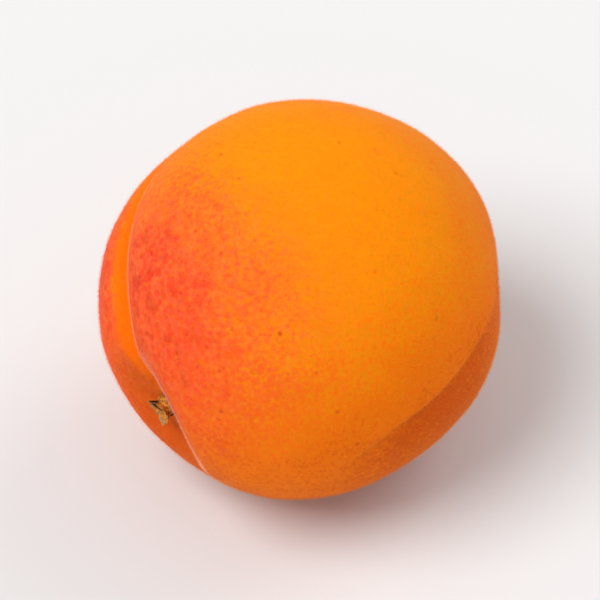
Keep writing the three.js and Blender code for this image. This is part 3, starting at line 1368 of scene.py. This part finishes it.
@dataclass
class Down:
    """The skin's fine down, as closed needles in a few pieces. Sizes in millimetres."""

    lie: Lie = Lie()
    finish: DownFinish = DownFinish()
    pieces: int = 3
    hairs: int = 49_000
    length: tuple[float, float] = (0.22, 0.44)
    width: float = 0.017
    root_depth: float = 0.03
    lean: float = 0.55
    ruffle: float = 0.5
    comb: float = 0.3
    lip_density: float = 6.0
    groove_red: float = 0.4
    bald_radius: float = 2.6
    bald_height: float = 0.5
    tones: int = 4
    seed: int = 7

    def build(self, skin: bpy.types.Object) -> list[bpy.types.Object]:
        """Builds and dresses the down.

        Args:
            skin: the skin that it grows on.

        Returns:
            The pieces.
        """
        rng = np.random.default_rng(self.seed)
        material = self.finish.material()
        made = []
        for number in range(1, self.pieces + 1):
            piece = self._build_share(f"down_{number}", self._scatter(skin, rng), rng)
            piece.data.materials.append(material)
            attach(piece, BODY)
            made.append(piece)
        return made

    def _build_share(
        self, name: str, roots: Roots, rng: np.random.Generator
    ) -> bpy.types.Object:
        """Builds one share of the down.

        Args:
            name: the piece's name.
            roots: where its hairs grow.
            rng: the seeded source of their lie and tone.

        Returns:
            The piece.
        """
        count = len(roots.places)
        points = self._needles(roots, rng)
        first = NEEDLE_POINTS * np.arange(count)[:, None, None]
        faces = (first + np.array(NEEDLE_FACES)[None]).reshape(-1, 3)
        top = self.tones - 1
        # Pale marks the hairs that carry the lip's painted sheen.
        levels = {"shade": rng.uniform(size=count), "red": roots.red, "pale": roots.pale}
        tone = {key: np.rint(top * np.clip(level, 0.0, 1.0)) for key, level in levels.items()}
        numbers = {key: np.repeat(step / top, NEEDLE_POINTS) for key, step in tone.items()}
        numbers["along"] = np.tile([0.0, 0.0, 0.0, 1.0], count)
        made = made_mesh(name, points, faces.tolist(), numbers, False)
        squares = tone["shade"] + self.tones * (tone["red"] + self.tones * tone["pale"])
        add_map(made, self._needle_map(squares))
        return made

    def _needles(self, roots: Roots, rng: np.random.Generator) -> np.ndarray:
        """Lays out the needles' points: three round each foot, then the tip.

        Args:
            roots: where the hairs grow.
            rng: the seeded source of their lie and length.

        Returns:
            Rows of x, y, z in metres.
        """
        count = len(roots.places)
        ruffled = rng.normal(size=(count, 3))
        combed = -self.lie.matrix()[:, 2]
        way = unit(roots.normals + self.lean * (self.ruffle * ruffled + self.comb * combed))
        length = rng.uniform(*self.length, count) * MM
        tips = roots.places + way * length[:, None]
        side = unit(np.cross(way, rng.normal(size=(count, 3))))
        other = np.cross(way, side)
        radius = self.width * MM / math.sqrt(3.0)
        sunk = roots.places - way * self.root_depth * MM
        angles = FULL_TURN * np.arange(3) / 3.0
        ring = [sunk + radius * (math.cos(a) * side + math.sin(a) * other) for a in angles]
        return np.stack([*ring, tips], 1).reshape(-1, 3)

    @staticmethod
    def _needle_map(squares: np.ndarray) -> np.ndarray:
        """The flat map of the down, with the needles of a tone in the same square.

        Args:
            squares: the number of each needle's square.

        Returns:
            A row for each corner, in the order of the faces.
        """
        corner = np.stack([squares % SHEET_SQUARES, squares // SHEET_SQUARES], 1)
        shape = np.concatenate([SIDE_SHAPE, SIDE_SHAPE, SIDE_SHAPE, FOOT_SHAPE])
        return (corner[:, None, :] / SHEET_SQUARES + shape[None]).reshape(-1, 2)

    def _scatter(self, skin: bpy.types.Object, rng: np.random.Generator) -> Roots:
        """Picks places for hairs over the skin, clear of the floor and the stalk.

        Args:
            skin: the skin's object.
            rng: the seeded source of the scatter.

        Returns:
            The roots that are kept.
        """
        mesh = skin.data
        mesh.calc_loop_triangles()
        corners = np.empty(3 * len(mesh.loop_triangles), np.int32)
        mesh.loop_triangles.foreach_get("vertices", corners)
        corners = corners.reshape(-1, 3)
        points = read_rows(mesh.vertices, "co")
        normals = read_rows(mesh.vertices, "normal")
        names = ("blush", "cavity", "groove", "lip_crest_sheen")
        number = {name: read_numbers(mesh.attributes[name].data) for name in names}
        a, b, c = (points[corners[:, i]] for i in range(3))
        area = np.linalg.norm(np.cross(b - a, c - a), axis=1)
        weight = area * (1.0 + self.lip_density * number["lip_crest_sheen"][corners[:, 0]])
        which = corners[rng.choice(len(area), self.hairs, p=weight / weight.sum())]
        share = rng.dirichlet((1.0, 1.0, 1.0), self.hairs)[..., None]
        places = (points[which] * share).sum(1)
        facing = unit((normals[which] * share).sum(1))
        keep = (places[:, 2] > self.bald_height * MM) & ~self._at_stalk(places)
        first = which[keep, 0]
        # The cavity's share of the red is partly painted shade.
        red = number["blush"] + number["cavity"] + self.groove_red * number["groove"]
        return Roots(places[keep], facing[keep], red[first], number["lip_crest_sheen"][first])

    def _at_stalk(self, places: np.ndarray) -> np.ndarray:
        """Finds the places round the stalk, which stay bare.

        Args:
            places: rows of x, y, z in metres.

        Returns:
            Whether each place is one of them.
        """
        axis = self.lie.matrix()[:, 2]
        off = places - np.array(self.lie.offset) * MM
        from_axis = np.linalg.norm(off - np.outer(off @ axis, axis), axis=1)
        return (off @ axis > 0) & (from_axis < self.bald_radius * MM)


# ---- The dry stalk remnant ----


@dataclass
class StalkRemnant:
    """The low, ragged, dished end that the dry stalk left in the cavity.

    Sizes are in millimetres and turns in degrees. A Hill's place is a share of the way
    along the half-section, from the dish to the middle of the foot.
    """

    form: FruitForm = FruitForm()
    lie: Lie = Lie()
    finish: StalkFinish = StalkFinish()
    rings: int = 90
    columns: int = 150
    height: float = 1.3
    foot: float = 1.35
    waist: float = 1.25
    waist_height: float = 0.585
    rim: float = 1.7
    dish_depth: float = 0.5
    dish_edge_depth: float = 0.4
    dish_edge_radius: float = 0.935
    gap: float = 0.3
    sunk: float = 0.5
    sinks: Rise = Rise(0.3, 0.0)

    ragged_from: float = 0.3
    ragged: tuple[Wave, ...] = (Wave(3, 0.09, 0.6), Wave(5, 0.05))
    wavy: tuple[Wave, ...] = (Wave(2, 0.18, 1.0), Wave(5, 0.06))
    tag_turn: float = 160.0
    tag_width: float = 24.0
    tag_reach: float = 0.6
    fibre_counts: tuple[int, ...] = (9, 14, 19, 27, 38)
    fibre_height: float = 0.035
    fibre_twist: float = 2.0
    fibre_zone: Hill = Hill(0.42, 0.3)
    fibre_starts: Rise = Rise(0.0, 0.6)
    fibre_lift: float = 1.6
    seed: int = 11

    # Painted shade in the dish's hollow, at the foot and underneath; the dark end is the stalk's
    # own colour.
    dish_ends: float = 0.42
    hollow_out: float = 0.7
    hollow_turn: float = 52.0
    hollow_width: float = 0.95
    hollow_painted_shade: float = 1.1
    foot_shade: Rise = Rise(0.35, 0.0)
    foot_painted_shade: float = 0.5
    under_turn: float = 215.0
    under_width: float = 0.6  # radians
    under_painted_shadow: float = 0.7
    end_turn: float = 5.0
    end_width: float = 0.5  # radians
    end_zone: Hill = Hill(0.5, 0.13)
    end_dark: float = 0.9
    rim_zone: Hill = Hill(0.36, 0.08)
    tag_grey: float = 0.9

    def build(self) -> bpy.types.Object:
        """Builds and dresses the remnant.

        Returns:
            The piece.
        """
        mesh = RingMesh(self.rings, self.columns)
        shares = np.linspace(0.0, 1.0, self.rings + 1)
        turns = np.linspace(0.0, FULL_TURN, self.columns + 1)
        share, turn = mesh.grid(shares, turns)
        radius, rise = self._section(share)
        upper = smoothstep(self.ragged_from * self.height, self.height, rise)
        upper = upper * smoothstep(0.0, self.rim, radius)
        fibre = self._fibres(turn, share)
        tag = self.tag_reach * self._beside(turn, self.tag_turn, math.radians(self.tag_width))
        spread = radius + upper * (sum(wave.at(turn) for wave in self.ragged) + tag)
        spread = spread + fibre * self.fibre_starts.at(radius)
        lift = rise - self.sunk * self.sinks.at(rise)
        lift = lift + upper * (sum(wave.at(turn) for wave in self.wavy) + self.fibre_lift * fibre)
        floor = self.form.points(np.zeros(1), np.zeros(1))[0, 2] + self.gap
        points = np.stack([spread * np.cos(turn), spread * np.sin(turn), floor + lift], -1)
        numbers = {
            # Painted shade, and one dark ragged end.
            "dark": self._shade_and_dark_end(points, share, turn, rise),
            "rim": self.rim_zone.at(share) + self.tag_grey * tag,
        }
        made = made_mesh("dry_stalk", self.lie.place(points), mesh.faces(), numbers, True)
        add_map(made, mesh.corners())
        made.data.materials.append(self.finish.material())
        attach(made, BODY)
        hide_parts("stalk_remnant")
        return made

    def _section(self, share: np.ndarray) -> tuple[np.ndarray, np.ndarray]:
        """The remnant's half-section, a smooth curve through its knots.

        Args:
            share: the share of the section's length, from the dish to the foot's middle.

        Returns:
            The radius and the rise at each share, in millimetres.
        """
        knots = np.array(
            [
                (0.0, self.height - self.dish_depth),
                (self.dish_edge_radius, self.height - self.dish_edge_depth),
                (self.rim, self.height),
                (self.waist, self.waist_height),
                (self.foot, 0.0),
                (0.0, 0.0),
            ]
        )
        last = len(knots) - 1
        place = np.clip(share, 0.0, 1.0) * last
        index = np.minimum(place.astype(int), last - 1)
        t = (place - index)[:, None]
        p0, p1 = knots[np.maximum(index - 1, 0)], knots[index]
        p2, p3 = knots[index + 1], knots[np.minimum(index + 2, last)]
        v0, v1 = (p2 - p0) / 2, (p3 - p1) / 2
        curve = (2 * p1 - 2 * p2 + v0 + v1) * t**3 + (-3 * p1 + 3 * p2 - 2 * v0 - v1) * t**2
        curve = np.maximum(curve + v0 * t + p1, 0.0)
        return curve[:, 0], curve[:, 1]

    def _fibres(self, turn: np.ndarray, share: np.ndarray) -> np.ndarray:
        """Fine ridges that run up the sides, uneven round the rim.

        Args:
            turn: the points' turns about the stalk.
            share: their shares of the section's length.

        Returns:
            The ridges' heights, in millimetres.
        """
        rng = np.random.default_rng(self.seed)
        total = np.zeros(len(turn))
        for count in self.fibre_counts:
            phase = rng.uniform(0, FULL_TURN)
            ridge = np.sin(count * turn + phase + self.fibre_twist * share)
            total += ridge * (self.fibre_counts[0] / count) ** 0.5
        return self.fibre_height * total * self.fibre_zone.at(share)

    def _shade_and_dark_end(
        self, points: np.ndarray, share: np.ndarray, turn: np.ndarray, rise: np.ndarray
    ) -> np.ndarray:
        """How dark the remnant is: painted shade in its hollow, at its foot and underneath, and its
        own darker colour at one end.

        Args:
            points: its points in the fruit's own frame.
            share: their shares of the section's length.
            turn: their turns about the stalk.
            rise: how high they stand in the section.

        Returns:
            The darkness, from 0.
        """
        hollow = math.radians(self.hollow_turn)
        middle = self.hollow_out * math.cos(hollow), self.hollow_out * math.sin(hollow)
        away = np.hypot(points[:, 0] - middle[0], points[:, 1] - middle[1])
        in_dish, outside = share < self.dish_ends, share > self.dish_ends
        end = self._beside(turn, self.end_turn, self.end_width) * self.end_zone.at(share)
        return (
            self.hollow_painted_shade * bell(away, self.hollow_width) * in_dish
            + self.foot_painted_shade * self.foot_shade.at(rise)
            + self.under_painted_shadow * self._beside(turn, self.under_turn, self.under_width) * outside
            + self.end_dark * end
        )

    @staticmethod
    def _beside(turn: np.ndarray, degrees: float, width: float) -> np.ndarray:
        """How near each turn is to a turn in degrees, 0 to 1, within a width in radians."""
        return bell(wrapped(turn - math.radians(degrees)), width)


# ---- The studio ----


@dataclass(frozen=True)
class SoftLight:
    """A broad, distant light: the way to it, its strength, and its width in degrees."""

    name: str
    way: tuple[float, float, float]
    strength: float
    width: float

    def hang(self) -> None:
        """Hangs the light, pointing at the fruit."""
        data = bpy.data.lights.new(self.name, "SUN")
        data.energy = self.strength
        data.angle = math.radians(self.width)
        light = bpy.data.objects.new(self.name, data)
        light.rotation_euler = Vector(self.way).to_track_quat("Z", "Y").to_euler()
        bpy.context.collection.objects.link(light)


@dataclass
class Studio:
    """A plain pale floor that sweeps up far behind, soft lights and the camera.

    Sizes are in metres, the camera's angles in degrees, its lens and sensor in millimetres.
    """

    floor_finish: FloorFinish = FloorFinish()
    floor_radius: float = 3.1
    flat_radius: float = 0.5
    sweep_height: float = 0.3
    floor_rings: int = 24
    floor_columns: int = 72
    lights: tuple[SoftLight, ...] = (
        SoftLight("key", (-0.5, -0.22, 0.84), 2.15, 36.0),
        SoftLight("back_fill", (0.6, 0.4, 0.7), 0.6, 36.0),
    )
    sky: Colour = (1.0, 1.0, 1.0)
    sky_strength: float = 0.53
    camera_azimuth: float = 0.0
    camera_elevation: float = 50.0
    camera_distance: float = 0.8
    camera_aim: tuple[float, float, float] = (0.0, 0.0, 0.0229)
    camera_sight: tuple[float, float] = (0.01, 50.0)
    lens: float = 400.0
    sensor: float = 36.0

    def build(self) -> None:
        """Builds the floor, the lights, the sky and the camera."""
        self._build_floor()
        for light in self.lights:
            light.hang()
        self._build_sky()
        self._build_camera()
        bpy.context.scene.view_settings.view_transform = "Standard"
        bpy.context.scene.view_settings.look = "None"

    def _build_floor(self) -> None:
        """Lays the floor that the fruit rests on: flat in the middle, rising at its far edge."""
        radius = np.linspace(0.0, self.floor_radius, self.floor_rings + 1)[1:, None]
        turn = np.linspace(0.0, FULL_TURN, self.floor_columns, endpoint=False)[None, :]
        rise = self.sweep_height * smoothstep(self.flat_radius, self.floor_radius, radius)
        places = np.broadcast_arrays(radius * np.cos(turn), radius * np.sin(turn), rise)
        points = np.concatenate([np.zeros((1, 3)), np.stack(places, -1).reshape(-1, 3)])
        faces = RingMesh(self.floor_rings + 1, self.floor_columns).dome()
        floor = made_mesh("floor", points, faces, {}, True)
        floor.data.materials.append(self.floor_finish.material())

    def _build_sky(self) -> None:
        """Makes the even white surroundings."""
        world = bpy.data.worlds.new("surroundings")
        world.use_nodes = True
        background = world.node_tree.nodes["Background"]
        background.inputs["Color"].default_value = (*self.sky, 1.0)
        background.inputs["Strength"].default_value = self.sky_strength
        bpy.context.scene.world = world

    def _build_camera(self) -> None:
        """Sets the camera up, looking down at the fruit."""
        a, e = math.radians(self.camera_azimuth), math.radians(self.camera_elevation)
        back = Vector((math.sin(a) * math.cos(e), -math.cos(a) * math.cos(e), math.sin(e)))
        data = bpy.data.cameras.new("camera")
        data.lens = self.lens
        data.sensor_width = self.sensor
        data.dof.use_dof = False
        data.clip_start, data.clip_end = self.camera_sight
        camera = bpy.data.objects.new("camera", data)
        camera.location = Vector(self.camera_aim) + self.camera_distance * back
        camera.rotation_euler = back.to_track_quat("Z", "Y").to_euler()
        bpy.context.collection.objects.link(camera)
        bpy.context.scene.camera = camera


# ---- The scene ----


def triangles_of(made: bpy.types.Object) -> int:
    """Counts a piece's triangles."""
    made.data.calc_loop_triangles()
    return len(made.data.loop_triangles)


def report(made: bpy.types.Object) -> None:
    """Logs a piece and its triangles.

    Args:
        made: the piece.

    Raises:
        ValueError: if it has too many triangles.
    """
    count = triangles_of(made)
    LOG.info("%s: %d triangles", made.name, count)
    if count > TRIANGLE_LIMIT:
        raise ValueError(f"{made.name} has {count} triangles")


def main() -> None:
    """Builds the studio, the skin, its down and the stalk remnant in order."""
    logging.basicConfig(level=logging.INFO, format="%(message)s")
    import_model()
    Studio().build()
    skin = Skin().build()
    report(skin)
    for piece in Down().build(skin):
        report(piece)
    report(StalkRemnant().build())


if __name__ == "__main__":
    main()
